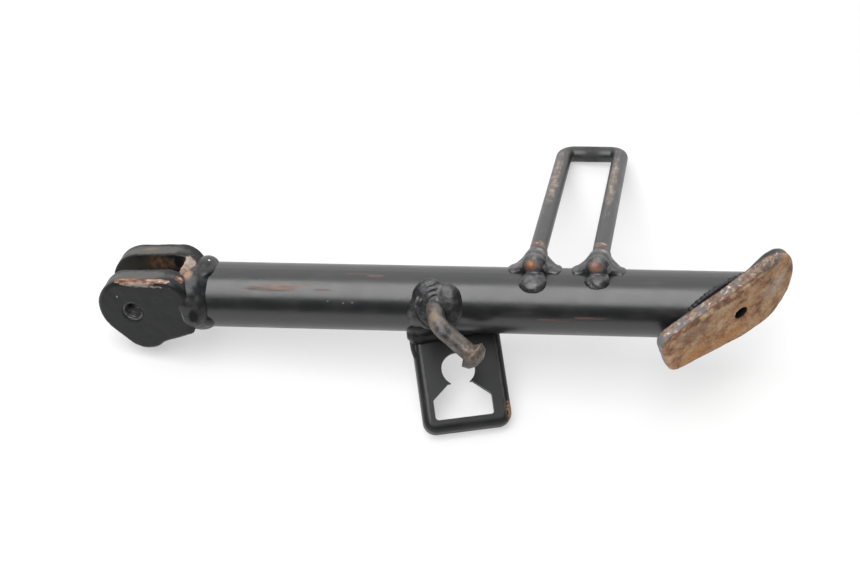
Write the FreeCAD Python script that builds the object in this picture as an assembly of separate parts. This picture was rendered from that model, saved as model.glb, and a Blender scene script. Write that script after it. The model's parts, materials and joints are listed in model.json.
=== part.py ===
import FreeCAD, Part
import math
import os

# Motorcycle side stand: a forged fork, a tube leg, a foot plate, a foot loop, a pressed
# stop bracket and a bent spring hook, welded together. Millimetres throughout.
#
# The pieces are drawn in the leg's own frame: X runs down the leg from the pivot to the
# foot, Z points away from the fork's stop lug, and the pivot axis lies in the XY plane.
# At the end the finished stand is laid down on its three points of support, with +Z up
# and the origin in the middle of the plain pivot bore.

Vector = FreeCAD.Vector
X_AXIS = Vector(1, 0, 0)
Y_AXIS = Vector(0, 1, 0)
Z_AXIS = Vector(0, 0, 1)

# ---- Leg tube ----
tube_diameter = 25.4
tube_wall = 2.5
tube_start = 26.0          # where the tube butts on the fork's neck, from the pivot axis

# ---- Pivot fork ----
pivot_yaw = 5.9            # degrees the pivot axis is off square to the leg
fork_width = 26.0
fork_offset = 0.5          # fork's middle, along the pivot axis, off the leg's centreline
slot_width = 9.0
slot_end = 18.7            # from the pivot axis to the slot's closed end
fork_end_radius = 14.4
fork_back = 23.5           # from the pivot axis to the fork's square end
fork_top_slope = 6.0       # degrees that the top edge rises towards the leg
fork_top_corner = 8.5      # radius
fork_underside_slope = 24.0
fork_underside_drop = 9.0  # underside's depth below the pivot axis at the square end
lug_radius = 9.4
lug_forward = 2.5
lug_drop = 9.3
lug_hollow_radius = 6.0
fork_edge_bevel = 1.2
neck_length = 6.0
bolt_bore_diameter = 10.1
thread_diameter = 8.0
thread_chamfer = 0.6

# ---- Foot plate ----
foot_distance = 235.3      # from the pivot axis to the sole, along the leg's centreline
sole_facing = Vector(0.607, -0.769, -0.201)
toe_direction = Vector(0.780, 0.528, 0.335)
foot_thickness = 6.0
foot_heel_length = 38.5
foot_toe_length = 22.6
foot_upper_land = 2.0      # the plate stands out this far past the leg, above it
foot_belly_land = 3.4      # and this far below it
foot_heel_drop = 7.0
foot_heel_corner = 5.0
foot_toe_corner = 12.5
foot_toe_flat = 0.4        # straight left at the toe, between its corner and its belly's sweep
foot_edge_bevel = 1.2
toe_bend_start = 2.0
toe_bend_angle = 11.0
toe_bend_radius = 30.0
drain_hole_diameter = 5.6
drain_hole_offset = -4.8   # towards the heel

# ---- Foot loop ----
loop_position = 166.5      # loop's middle, from the pivot axis
loop_spacing = 24.0        # between the legs' centres
loop_reach = 115.5         # from over the leg's centre to the crossbar's centre
loop_droop = 12.9          # degrees below square
loop_yaw = 0.7             # degrees that its legs lean towards the foot
loop_bar = 6.7             # diameter
loop_corner_radius = 4.6   # on the bar's centreline
loop_tail = 3.5            # the bar's ends run this far past the leg's centre

# ---- Stop bracket, a tray with a keyhole ----
bracket_position = 105.1   # of its left edge, from the pivot axis
bracket_drop = 52.4        # from the leg's centreline down to the lower edge
bracket_setback = 10.6     # from the leg's centreline back to the rear edge
bracket_yaw = 16.5
bracket_droop = 2.6
bracket_lean = 38.4
bracket_width = 34.0
bracket_height = 47.0
bracket_depth = 7.0
bracket_sheet = 2.5
bracket_corner_radius = 5.0
bracket_bend_radius = 3.0
keyhole_centre = 15.9
keyhole_height = 23.4
keyhole_radius = 6.5
keyhole_neck = 9.3
keyhole_neck_height = 18.0
window_width = 22.6
window_shoulder = 12.3
window_sill = 4.4
window_corner = 1.3
sharp_corner = 0.05        # radius

# ---- Spring hook ----
hook_position = 117.6
hook_angle = 66.5          # degrees round the leg from +Z towards -Y
hook_stem = 10.2           # from the leg's surface to the bend's corner
hook_stem_lean_angle = 14.7     # degrees towards the foot
hook_stem_angle = 96.3     # degrees round the leg
hook_arm = 18.0            # from the bend's corner to the middle of the head
hook_arm_lean_angle = 49.9
hook_arm_angle = 153.0
hook_diameter = 6.8
hook_bend_radius = 6.0
hook_head_diameter = 11.6
hook_head_thickness = 6.0
hook_head_rim = 1.5        # height of the head's widest part above its neck
hook_head_bands = (0, 35, 68)   # degrees up the dome

# ---- Weld beads ----
crown_bands = (0, 32, 62)  # degrees up a bead's rounded section
ring_start = 21.0          # the ring round the fork's neck, along the leg
ring_end = 27.9
ring_height = 2.2
ring_high_lump = 26.0      # position along the leg
ring_high_lump_angle = -20.0    # degrees round the leg from +Z towards -Y
ring_high_lump_radius = 5.2
ring_high_lump_height = 3.2
ring_low_lump = 23.9
ring_low_lump_angle = 99.0
ring_low_lump_radius = 5.3
ring_low_lump_height = 3.0
ring_sides = 28
lump_sides = 14
flare_reach = 8.0          # the loop's welds climb its legs this far
flare_width = 20.5
flare_depth = 6.3
flare_lean = 1.0           # they spread this much further towards the fork
flare_front = 4.6
flare_collar = 0.6         # round the bar, where a weld ends on it
toe_bead_angle = 21.0      # degrees round the leg from +Z towards -Y
toe_bead_radius = 4.5
toe_bead_height = 3.2
root_mound_position = 117.0     # round the hook's root
root_mound_angle = 61.0
root_mound_radius = 8.8
root_mound_height = 3.4
end_lump_position = 122.9
end_lump_angle = 57.3
end_lump_radius = 5.0
end_lump_height = 4.3
bracket_bead = 5.4
bracket_bead_start = 2.9   # from the bracket's left edge
bracket_bead_end = 2.6
collar_width = 0.9         # round the leg on the back of the foot plate


def turned(shape, axis, degrees, centre=Vector(0, 0, 0)):
    """A copy of the shape turned about an axis."""
    result = shape.copy()
    result.rotate(centre, axis, degrees)
    return result


def moved(shape, offset):
    """A copy of the shape moved by a vector."""
    result = shape.copy()
    result.translate(offset)
    return result


def placed(shape, placement):
    """A copy of the shape moved from its own frame to the leg's."""
    result = shape.copy()
    result.Placement = placement.multiply(shape.Placement)
    return result


def rod(radius, length, base, direction):
    """A solid cylinder."""
    return Part.makeCylinder(radius, length, base, direction)


def polar(centre, radius, degrees):
    """A point in the XZ plane, by angle from +X towards +Z."""
    angle = math.radians(degrees)
    return centre + Vector(radius * math.cos(angle), 0, radius * math.sin(angle))


def arc_between(centre, radius, start, end):
    """The arc in the XZ plane from one angle to another."""
    middle = (start + end) / 2
    points = [polar(centre, radius, angle) for angle in (start, middle, end)]
    return Part.Arc(*points).toShape()


def line(start, end):
    """A straight edge."""
    return Part.LineSegment(start, end).toShape()


def rounded_polygon(points, radii):
    """A closed wire in the XY plane whose corners are tangent arcs of the given radii."""
    edges = []
    ends = []
    count = len(points)
    for index in range(count):
        corner = points[index]
        before = (points[index - 1] - corner).normalize()
        after = (points[(index + 1) % count] - corner).normalize()
        half_angle = before.getAngle(after) / 2
        reach = radii[index] / math.tan(half_angle)
        centre_distance = radii[index] / math.sin(half_angle)
        inward = (before + after).normalize()
        centre = corner + inward * centre_distance
        middle = centre - inward * radii[index]
        ends.append((corner + before * reach, middle, corner + after * reach))
    for index in range(count):
        start, middle, end = ends[index]
        edges.append(Part.Arc(start, middle, end).toShape())
        edges.append(line(end, ends[(index + 1) % count][0]))
    return Part.Wire(edges)


def prism(wire, direction):
    """A closed flat wire, filled and extruded."""
    return Part.Face(wire).extrude(direction)


# ---- Pivot fork ----

def fork_outline():
    """The fork's side view in the XZ plane, with the pivot axis at the origin."""
    pivot = Vector(0, 0, 0)
    lug = Vector(lug_forward, 0, -lug_drop)
    # One straight flank touches the rounded end and the lug on the open side.
    spread = math.degrees(math.atan2(lug.z, lug.x))
    lean = math.degrees(math.acos((fork_end_radius - lug_radius) / lug.Length))
    flank = spread - lean
    top = 90 + fork_top_slope
    top_start = polar(pivot, fork_end_radius, top)
    rise = math.tan(math.radians(fork_top_slope))
    corner = Vector(fork_back, 0, top_start.z + rise * (fork_back - top_start.x))
    reach = fork_top_corner * math.tan(math.radians((90 + fork_top_slope) / 2))
    slope = Vector(math.cos(math.radians(fork_top_slope)), 0, math.sin(math.radians(fork_top_slope)))
    corner_centre = Vector(fork_back - fork_top_corner, 0, corner.z - reach)
    top_end = corner - slope * reach
    # A hollow blends the lug into the straight underside.
    under = math.radians(fork_underside_slope)
    along = Vector(math.cos(under), 0, math.sin(under))
    inward = Vector(-math.sin(under), 0, math.cos(under))
    square_end = Vector(fork_back, 0, -fork_underside_drop)
    base = square_end - inward * lug_hollow_radius
    offset = base - lug
    share = offset.dot(along)
    reach_squared = (lug_radius + lug_hollow_radius) ** 2 - offset.dot(offset) + share ** 2
    hollow = base + along * (math.sqrt(reach_squared) - share)
    touch = math.degrees(math.atan2(hollow.z - lug.z, hollow.x - lug.x))
    edges = [
        arc_between(pivot, fork_end_radius, top, 360 + flank),
        line(polar(pivot, fork_end_radius, flank), polar(lug, lug_radius, flank)),
        arc_between(lug, lug_radius, 360 + flank, 360 + touch),
        arc_between(hollow, lug_hollow_radius, 180 + touch, 90 + fork_underside_slope),
        line(polar(hollow, lug_hollow_radius, 90 + fork_underside_slope), square_end),
        line(square_end, polar(corner_centre, fork_top_corner, 0)),
        arc_between(corner_centre, fork_top_corner, 0, top),
        line(top_end, top_start),
    ]
    return Part.Wire(Part.__sortEdges__(edges))


def make_fork_blank():
    """The forging before its edges are bevelled, in its own frame."""
    near = fork_offset - fork_width / 2
    return moved(prism(fork_outline(), Y_AXIS * fork_width), Y_AXIS * near)


def make_fork():
    """Forged fork: two cheeks with a slot between them, on a round neck for the tube."""
    body = make_fork_blank()
    half = fork_width / 2
    near = fork_offset - half
    rims = [edge for edge in body.Edges if abs(abs(edge.BoundBox.Center.y - fork_offset) - half) < 0.01]
    body = body.makeChamfer(fork_edge_bevel, rims)
    reach = 3 * fork_end_radius
    corner = Vector(-reach, fork_offset - slot_width / 2, -reach)
    slot = Part.makeBox(reach + slot_end, slot_width, 2 * reach, corner)
    thread_radius = thread_diameter / 2
    face = Vector(0, near, 0)
    thread = rod(thread_radius, half, face, Y_AXIS)
    mouth = Part.makeCone(thread_radius + thread_chamfer, thread_radius, thread_chamfer, face, Y_AXIS)
    bore = rod(bolt_bore_diameter / 2, half, Vector(0, fork_offset, 0), Y_AXIS)
    body = turned(body, Z_AXIS, -pivot_yaw)
    neck = rod(tube_diameter / 2, neck_length, Vector(tube_start - neck_length, 0, 0), X_AXIS)
    body = body.fuse(neck).removeSplitter()
    cuts = [turned(cut, Z_AXIS, -pivot_yaw) for cut in (slot, thread, mouth, bore)]
    return body.cut(cuts)


# ---- Foot plate ----

def foot_frame():
    """Placement of the foot: X to the toe, Y to the upper edge, Z out of the sole."""
    rotation = FreeCAD.Rotation(toe_direction, Vector(0, 0, 0), sole_facing, "ZXY")
    return FreeCAD.Placement(Vector(foot_distance, 0, 0), rotation)


def foot_outline():
    """The sole's outline: narrow at the heel, with a full round belly at the toe."""
    upper = tube_diameter / 2 + foot_upper_land
    belly = -tube_diameter / 2 - foot_belly_land
    sweep = upper - belly - foot_toe_corner - foot_toe_flat
    points = [
        Vector(-foot_heel_length, upper, 0),
        Vector(-foot_heel_length, -foot_heel_drop, 0),
        Vector(-foot_heel_length / 5, belly, 0),
        Vector(foot_toe_length, belly, 0),
        Vector(foot_toe_length, upper, 0),
    ]
    radii = [foot_heel_corner, foot_heel_corner, sweep, sweep, foot_toe_corner]
    return rounded_polygon(points, radii)


def bent_layer(top, bottom, reach):
    """A layer of the bent foot between two depths, wider than the foot itself."""
    bend = math.radians(toe_bend_angle)

    def surface(depth):
        centre = Vector(toe_bend_start, 0, -toe_bend_radius - foot_thickness)
        radius = toe_bend_radius + foot_thickness + depth
        start = Vector(toe_bend_start, 0, depth)
        end = polar(centre, radius, 90 - toe_bend_angle)
        middle = polar(centre, radius, 90 - toe_bend_angle / 2)
        tip = end + Vector(math.cos(bend), 0, -math.sin(bend)) * reach
        return Vector(-reach, 0, depth), start, middle, end, tip

    upper = surface(top)
    lower = surface(bottom)
    edges = [
        line(upper[0], upper[1]),
        Part.Arc(upper[1], upper[2], upper[3]).toShape(),
        line(upper[3], upper[4]),
        line(upper[4], lower[4]),
        line(lower[4], lower[3]),
        Part.Arc(lower[3], lower[2], lower[1]).toShape(),
        line(lower[1], lower[0]),
        line(lower[0], upper[0]),
    ]
    return moved(prism(Part.Wire(edges), Y_AXIS * 2 * reach), Y_AXIS * -reach)


def foot_blank():
    """A block of the sole's outline, deep enough for the bent toe."""
    depth = 3 * foot_thickness
    return moved(prism(foot_outline(), Z_AXIS * depth), Z_AXIS * -depth)


def make_foot():
    """Foot plate, with its toe bent back and a drain hole into the tube."""
    reach = 2 * foot_thickness
    plate = bent_layer(0, -foot_thickness, 2 * foot_heel_length).common(foot_blank())
    rims = [edge for edge in plate.Edges if not is_through_edge(edge)]
    plate = plate.makeChamfer(foot_edge_bevel, rims)
    hole = rod(drain_hole_diameter / 2, 2 * reach, Vector(drain_hole_offset, 0, -reach), Z_AXIS)
    return placed(plate.cut(hole), foot_frame())


def is_through_edge(edge):
    """True for the plate's edges that cross its thickness, and for its bend lines."""
    box = edge.BoundBox
    crosses = box.ZLength > 0.8 * foot_thickness
    bend_line = box.XLength < 0.01 and box.YLength > foot_thickness
    return crosses or bend_line


# ---- Leg tube ----

def make_tube():
    """Leg tube, square at the fork and cut to the back of the foot plate."""
    length = foot_distance - tube_start + 3 * tube_diameter
    outside = rod(tube_diameter / 2, length, Vector(tube_start, 0, 0), X_AXIS)
    inside = rod(tube_diameter / 2 - tube_wall, length, Vector(tube_start, 0, 0), X_AXIS)
    beyond = bent_layer(4 * tube_diameter, -foot_thickness, 6 * tube_diameter)
    return outside.cut([inside, placed(beyond, foot_frame())])


# ---- Foot loop ----

def loop_frame():
    """Placement of the loop: X between its legs, Y along them, Z off the leg."""
    rotation = FreeCAD.Rotation(Z_AXIS, -loop_yaw) * FreeCAD.Rotation(X_AXIS, -loop_droop)
    lift = rotation.multVec(Z_AXIS) * ((tube_diameter + loop_bar) / 2)
    return FreeCAD.Placement(lift + Vector(loop_position, 0, 0), rotation)


def make_loop():
    """Foot loop: one round bar, bent square twice, lying on top of the leg."""
    half = loop_spacing / 2
    bend = loop_corner_radius
    diagonal = bend * (1 - math.sqrt(0.5))
    foot_left = Vector(-half, -loop_tail, 0)
    foot_right = Vector(half, -loop_tail, 0)
    path = Part.Wire([
        line(foot_left, Vector(-half, loop_reach - bend, 0)),
        Part.Arc(
            Vector(-half, loop_reach - bend, 0),
            Vector(-half + diagonal, loop_reach - diagonal, 0),
            Vector(-half + bend, loop_reach, 0),
        ).toShape(),
        line(Vector(-half + bend, loop_reach, 0), Vector(half - bend, loop_reach, 0)),
        Part.Arc(
            Vector(half - bend, loop_reach, 0),
            Vector(half - diagonal, loop_reach - diagonal, 0),
            Vector(half, loop_reach - bend, 0),
        ).toShape(),
        line(Vector(half, loop_reach - bend, 0), foot_right),
    ])
    profile = Part.Wire(Part.makeCircle(loop_bar / 2, foot_left, Y_AXIS))
    return placed(path.makePipeShell([profile], True, True), loop_frame())


# ---- Stop bracket ----

def bracket_frame():
    """Placement of the bracket: X across it, Y up to the leg, Z out of its front face."""
    rotation = (
        FreeCAD.Rotation(Z_AXIS, bracket_yaw)
        * FreeCAD.Rotation(Y_AXIS, bracket_droop)
        * FreeCAD.Rotation(X_AXIS, bracket_lean)
    )
    up = rotation.multVec(Y_AXIS)
    forward = rotation.multVec(Z_AXIS)
    corner = Vector(bracket_position, 0, 0) - up * bracket_drop - forward * bracket_setback
    return FreeCAD.Placement(corner, rotation)


def tray_block(inset, front):
    """A block of the tray's outline, open at its upper end, up to the given front."""
    width = bracket_width - inset
    top = bracket_height + inset
    radius = bracket_corner_radius - inset
    points = [Vector(inset, top, 0), Vector(inset, inset, 0), Vector(width, inset, 0), Vector(width, top, 0)]
    block = prism(rounded_polygon(points, [sharp_corner, radius, radius, sharp_corner]), Z_AXIS * front)
    if inset:
        return block
    rims = [
        edge for edge in block.Edges
        if abs(edge.BoundBox.ZMin - front) < 0.01 and edge.BoundBox.YMin < top - 1
    ]
    return block.makeFillet(bracket_bend_radius, rims)


def keyhole_cutter():
    """The keyhole: a round eye that opens through a neck into a wide window."""
    half = window_width / 2
    middle = keyhole_centre
    neck = keyhole_neck / 2
    points = [
        Vector(middle - half, window_sill, 0),
        Vector(middle + half, window_sill, 0),
        Vector(middle + half, window_shoulder, 0),
        Vector(middle + neck, keyhole_neck_height, 0),
        Vector(middle - neck, keyhole_neck_height, 0),
        Vector(middle - half, window_shoulder, 0),
    ]
    radii = [window_corner, window_corner, window_corner, sharp_corner, sharp_corner, window_corner]
    depth = Z_AXIS * 2 * bracket_depth
    window = prism(rounded_polygon(points, radii), depth)
    eye = rod(keyhole_radius, 2 * bracket_depth, Vector(middle, keyhole_height, 0), Z_AXIS)
    return window.fuse(eye)


def make_bracket():
    """Pressed tray with turned-back sides and a keyhole, coped to seat on the leg."""
    tray = tray_block(0, bracket_depth).cut(tray_block(bracket_sheet, bracket_depth - bracket_sheet))
    tray = placed(tray.cut(keyhole_cutter()), bracket_frame())
    reach = 2 * bracket_height
    seat = rod(tube_diameter / 2, 2 * reach, Vector(hook_position - reach, 0, 0), X_AXIS)
    pieces = tray.cut(seat).Solids
    return max(pieces, key=lambda piece: piece.Volume)


# ---- Spring hook ----

def round_leg(position, degrees, radius):
    """A point at an angle round the leg, from +Z towards -Y."""
    angle = math.radians(degrees)
    return Vector(position, -radius * math.sin(angle), radius * math.cos(angle))


def heading(lean, degrees):
    """A direction round the leg, leaning towards the foot."""
    angle = math.radians(lean)
    return round_leg(math.sin(angle), degrees, math.cos(angle))


def make_hook():
    """Bent pin with a domed head that keeps the return spring on it."""
    root = round_leg(hook_position, hook_angle, tube_diameter / 2)
    outward = heading(hook_stem_lean_angle, hook_stem_angle)
    arm = heading(hook_arm_lean_angle, hook_arm_angle)
    elbow = root + outward * hook_stem
    half_turn = outward.getAngle(arm) / 2
    reach = hook_bend_radius * math.tan(half_turn)
    bend_start = elbow - outward * reach
    bend_end = elbow + arm * reach
    inward = (arm - outward).normalize()
    centre = elbow + inward * (hook_bend_radius / math.cos(half_turn))
    bend_middle = centre - inward * hook_bend_radius
    sunk = root - outward * tube_diameter / 4
    neck = elbow + arm * (hook_arm - hook_head_thickness / 2)
    path = Part.Wire([
        line(sunk, bend_start),
        Part.Arc(bend_start, bend_middle, bend_end).toShape(),
        line(bend_end, neck),
    ])
    profile = Part.Wire(Part.makeCircle(hook_diameter / 2, sunk, outward))
    pin = path.makePipeShell([profile], True, True)
    head = placed(make_hook_head(), along(neck, arm))
    leg = rod(tube_diameter / 2, 4 * tube_diameter, Vector(hook_position - 2 * tube_diameter, 0, 0), X_AXIS)
    return pin.cut(leg).fuse(head).removeSplitter()


def make_hook_head():
    """Mushroom head, turned about Z, with its neck side at the origin."""
    rim = hook_head_diameter / 2
    neck = hook_diameter / 2
    dome = hook_head_thickness - hook_head_rim
    corners = [Vector(0, 0, 0), Vector(neck, 0, 0)]
    for degrees in hook_head_bands:
        angle = math.radians(degrees)
        corners.append(Vector(rim * math.cos(angle), 0, hook_head_rim + dome * math.sin(angle)))
    corners.append(Vector(0, 0, corners[-1].z))
    return Part.Face(Part.makePolygon(corners + corners[:1])).revolve(Vector(0, 0, 0), Z_AXIS, 360)


def along(base, direction):
    """Placement at a base point, with Z along a direction."""
    return FreeCAD.Placement(base, FreeCAD.Rotation(Z_AXIS, direction))


# ---- Weld beads ----

def faceted(sections, sides, placement):
    """A many-sided solid through flat sections of one shape: (middle, half width, half depth)."""
    rings = []
    for middle, width, depth in sections:
        angles = [2 * math.pi * (number + 0.5) / sides for number in range(sides)]
        ring = [middle + Vector(width * math.cos(angle), depth * math.sin(angle), 0) for angle in angles]
        rings.append([placement.multVec(corner) for corner in ring])
    outlines = [rings[0], rings[-1]]
    for lower, upper in zip(rings, rings[1:]):
        for number in range(sides):
            after = (number + 1) % sides
            outlines.append([lower[number], lower[after], upper[after], upper[number]])
    faces = [Part.Face(Part.makePolygon(outline + outline[:1])) for outline in outlines]
    return Part.makeSolid(Part.makeShell(faces))


def crown(radius, height):
    """Half of a bead's rounded section, in straight bands, as (radius, height) corners."""
    angles = [math.radians(degrees) for degrees in crown_bands]
    return [(radius * math.cos(angle), height * math.sin(angle)) for angle in angles]


def round_sections(profile):
    """Round sections of a bead from (radius, height) corners."""
    return [(Z_AXIS * height, radius, radius) for radius, height in profile]


def lump(base, direction, radius, height):
    """A round lump of weld that stands on a base point, with a stem sunk below it."""
    profile = [(radius, -radius)] + crown(radius, height)
    return faceted(round_sections(profile), lump_sides, along(base, direction))


def leg_lump(position, degrees, radius, height):
    """A lump that stands on the leg."""
    return lump(round_leg(position, degrees, tube_diameter / 2), heading(0, degrees), radius, height)


def weld_metal(lumps, neighbours):
    """Lumps run together, without what the pieces they join fill."""
    run = lumps[0]
    if len(lumps) > 1:
        run = lumps[0].multiFuse(lumps[1:])
    for neighbour in neighbours:
        run = run.cut(neighbour)
    return max(run.Solids, key=lambda solid: solid.Volume)


def make_fork_weld(leg, fork_body):
    """The ring of weld round the joint of fork and tube, lumpy above and below."""
    half = (ring_end - ring_start) / 2
    rim = [(tube_diameter / 2 + rise, reach) for reach, rise in crown(half, ring_height)]
    profile = [(radius, -reach) for radius, reach in rim] + list(reversed(rim))
    ring = faceted(round_sections(profile), ring_sides, along(Vector(ring_start + half, 0, 0), X_AXIS))
    high = leg_lump(ring_high_lump, ring_high_lump_angle, ring_high_lump_radius, ring_high_lump_height)
    low = leg_lump(ring_low_lump, ring_low_lump_angle, ring_low_lump_radius, ring_low_lump_height)
    return weld_metal([ring, high, low], [leg, fork_body])


def make_loop_weld(side, leg, bar):
    """A flared weld at the foot of one of the loop's legs, with a bead before its end."""
    frame = loop_frame()
    radius = loop_bar / 2
    foot = side * loop_spacing / 2
    across = FreeCAD.Placement(Vector(foot, 0, 0), FreeCAD.Rotation(X_AXIS, 90))
    share = (loop_bar + 2 * flare_collar) / flare_width
    sections = [
        (Vector(0, 0, -flare_reach), share * flare_width / 2, share * flare_depth),
        (Vector(-flare_lean, -radius, flare_front), flare_width / 2, flare_depth),
    ]
    flare = faceted(sections, lump_sides, frame.multiply(across))
    bead = leg_lump(loop_position + foot, toe_bead_angle, toe_bead_radius, toe_bead_height)
    return weld_metal([flare, bead], [leg, bar])


def make_hook_weld(leg, hook):
    """A mound round the hook's root, and the round lump where the run of weld ended."""
    root = leg_lump(root_mound_position, root_mound_angle, root_mound_radius, root_mound_height)
    end = leg_lump(end_lump_position, end_lump_angle, end_lump_radius, end_lump_height)
    return weld_metal([root, end], [leg, hook])


def make_bracket_weld(leg, bracket):
    """The seam between the bracket's front face and the leg, thickest at the fork's end."""
    frame = bracket_frame()
    slope = frame.Rotation.multVec(Y_AXIS) * -1

    def seam_point(across):
        """Where the bracket's front face meets the leg's surface."""
        point = frame.multVec(Vector(across, bracket_height, bracket_depth))
        a = slope.y ** 2 + slope.z ** 2
        b = point.y * slope.y + point.z * slope.z
        c = point.y ** 2 + point.z ** 2 - (tube_diameter / 2) ** 2
        return point + slope * ((math.sqrt(b * b - a * c) - b) / a)

    start = seam_point(bracket_bead_start)
    run = seam_point(bracket_width - bracket_bead_end) - start
    thick = [(radius, -height) for radius, height in reversed(crown(bracket_bead, bracket_bead))]
    thin = [(radius, run.Length + height) for radius, height in crown(bracket_bead_end, bracket_bead_end)]
    seam = faceted(round_sections(thick + thin), lump_sides, along(start, run))
    return weld_metal([seam], [leg, bracket])


def make_foot_weld(leg):
    """A collar of weld where the tube stands on the back of the foot plate."""
    radius = tube_diameter / 2 + collar_width
    length = 3 * tube_diameter
    profile = [(radius, -length), (radius, length)]
    collar = faceted(round_sections(profile), ring_sides, along(Vector(foot_distance, 0, 0), X_AXIS))
    low = Vector(-length, -length, -foot_thickness - collar_width)
    slab = Part.makeBox(2 * length, 2 * length, collar_width, low)
    return weld_metal([collar.common(placed(slab, foot_frame()))], [leg])


# ---- Lying at rest ----

def rest_placement(supports):
    """The placement that lays the stand on its three supports, with +Z up."""
    tolerance = 0.05
    clouds = [shape.tessellate(tolerance)[0] for shape in supports]

    def heights(tilt_x, tilt_y):
        up = Vector(tilt_x, tilt_y, 1).normalize()
        return up, [min(point.dot(up) for point in cloud) for cloud in clouds]

    # Newton steps from a rough guess, until all three supports are equally low.
    tilt_x, tilt_y = 0.1, -0.2
    nudge = 1e-4
    passes = 12
    for _ in range(passes):
        base = heights(tilt_x, tilt_y)[1]
        by_x = heights(tilt_x + nudge, tilt_y)[1]
        by_y = heights(tilt_x, tilt_y + nudge)[1]
        gap_1, gap_2 = base[0] - base[1], base[2] - base[1]
        a = (by_x[0] - by_x[1] - gap_1) / nudge
        b = (by_y[0] - by_y[1] - gap_1) / nudge
        c = (by_x[2] - by_x[1] - gap_2) / nudge
        d = (by_y[2] - by_y[1] - gap_2) / nudge
        determinant = a * d - b * c
        tilt_x -= (d * gap_1 - b * gap_2) / determinant
        tilt_y -= (a * gap_2 - c * gap_1) / determinant
    up = heights(tilt_x, tilt_y)[0]
    forward = (X_AXIS - up * X_AXIS.dot(up)).normalize()
    left = up.cross(forward)
    rotation = FreeCAD.Rotation(forward, left, up, "ZXY").inverted()
    pivot_axis = FreeCAD.Rotation(Z_AXIS, -pivot_yaw).multVec(Y_AXIS)
    bore_middle = pivot_axis * (fork_offset + (fork_width + slot_width) / 4)
    return FreeCAD.Placement(rotation.multVec(bore_middle) * -1, rotation)


def build():
    """Every piece of the stand by name, lying at rest."""
    fork = make_fork()
    tube = make_tube()
    foot = make_foot()
    loop = make_loop()
    bracket = make_bracket()
    hook = make_hook()
    pieces = {
        "pivot_fork": fork,
        "leg_tube": tube,
        "foot_plate": foot,
        "foot_loop": loop,
        "stop_bracket": bracket,
        "spring_hook": hook,
    }
    leg = rod(tube_diameter / 2, foot_distance, Vector(0, 0, 0), X_AXIS)
    fork_body = turned(make_fork_blank(), Z_AXIS, -pivot_yaw)
    pieces["weld_fork"] = make_fork_weld(leg, fork_body)
    pieces["weld_loop_left"] = make_loop_weld(-1, leg, loop)
    pieces["weld_loop_right"] = make_loop_weld(1, leg, loop)
    pieces["weld_hook"] = make_hook_weld(leg, hook)
    pieces["weld_bracket"] = make_bracket_weld(leg, bracket)
    pieces["weld_foot"] = make_foot_weld(leg)
    placement = rest_placement([fork, bracket, loop])
    return {name: placed(shape, placement) for name, shape in pieces.items()}


def main():
    os.makedirs("parts", exist_ok=True)
    for name, shape in build().items():
        shape.exportStep("parts/" + name + ".step")


main()
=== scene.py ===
"""The looks of a motorcycle side stand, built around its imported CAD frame. Blender 4.5."""

import json
import math
import random

import bpy
from mathutils import Matrix, Vector
from mathutils.geometry import intersect_line_line


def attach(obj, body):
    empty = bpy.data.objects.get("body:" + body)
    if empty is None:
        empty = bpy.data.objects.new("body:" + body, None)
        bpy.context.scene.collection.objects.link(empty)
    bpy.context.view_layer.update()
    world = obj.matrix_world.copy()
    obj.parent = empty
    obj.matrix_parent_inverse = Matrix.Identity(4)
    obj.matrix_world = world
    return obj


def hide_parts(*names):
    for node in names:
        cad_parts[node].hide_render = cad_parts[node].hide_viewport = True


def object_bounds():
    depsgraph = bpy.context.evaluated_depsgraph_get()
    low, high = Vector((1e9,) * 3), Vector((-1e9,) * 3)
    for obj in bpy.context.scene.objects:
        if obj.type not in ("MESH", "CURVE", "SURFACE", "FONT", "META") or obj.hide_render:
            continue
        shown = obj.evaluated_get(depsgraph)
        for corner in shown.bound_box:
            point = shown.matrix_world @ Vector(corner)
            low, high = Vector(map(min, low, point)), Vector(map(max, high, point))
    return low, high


bl_info = {
    "name": "Motorcycle Side Stand",
    "version": (1, 0, 0),
    "blender": (4, 5, 0),
    "location": "3D View > Sidebar > Side Stand",
    "description": "Finishes a worn, black painted motorcycle side stand",
    "category": "Object",
}

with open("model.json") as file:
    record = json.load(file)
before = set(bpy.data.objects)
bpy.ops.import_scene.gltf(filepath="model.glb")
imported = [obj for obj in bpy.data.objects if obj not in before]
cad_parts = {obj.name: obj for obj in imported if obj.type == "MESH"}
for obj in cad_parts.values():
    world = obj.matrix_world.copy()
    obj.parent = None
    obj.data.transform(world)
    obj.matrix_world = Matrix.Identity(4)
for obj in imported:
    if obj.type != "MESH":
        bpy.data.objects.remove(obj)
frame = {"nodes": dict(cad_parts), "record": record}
CAD_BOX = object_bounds()

MM = 0.001
X_AXIS = Vector((1, 0, 0))
Z_AXIS = Vector((0, 0, 1))
WHITE = (1, 1, 1, 1)

# ---- The construction's own sizes, in millimetres and degrees ----
TUBE_RADIUS = 12.7
PIVOT_YAW = 5.9
THREAD_RADIUS = 4.0
THREAD_FACE = -12.5
THREAD_LENGTH = 8.4
THREAD_PITCH = 1.25
FOOT_DISTANCE = 235.3
FOOT_THICKNESS = 6.0
DRAIN_HOLE_OFFSET = -4.8
SOLE_FACING = Vector((0.607, -0.769, -0.201))
TOE_DIRECTION = Vector((0.780, 0.528, 0.335))
LOOP_POSITION = 166.5
LOOP_SPACING = 24.0
LOOP_BAR = 6.7
LOOP_DROOP = 12.9
LOOP_YAW = 0.7
LOOP_REACH = 115.5
BRACKET_POSITION = 105.1
BRACKET_DROP = 52.4
BRACKET_SETBACK = 10.6
BRACKET_YAW = 16.5
BRACKET_DROOP = 2.6
BRACKET_LEAN = 38.4
BRACKET_WIDTH = 34.0
BRACKET_DEPTH = 7.0


# ---- Places ----

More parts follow.
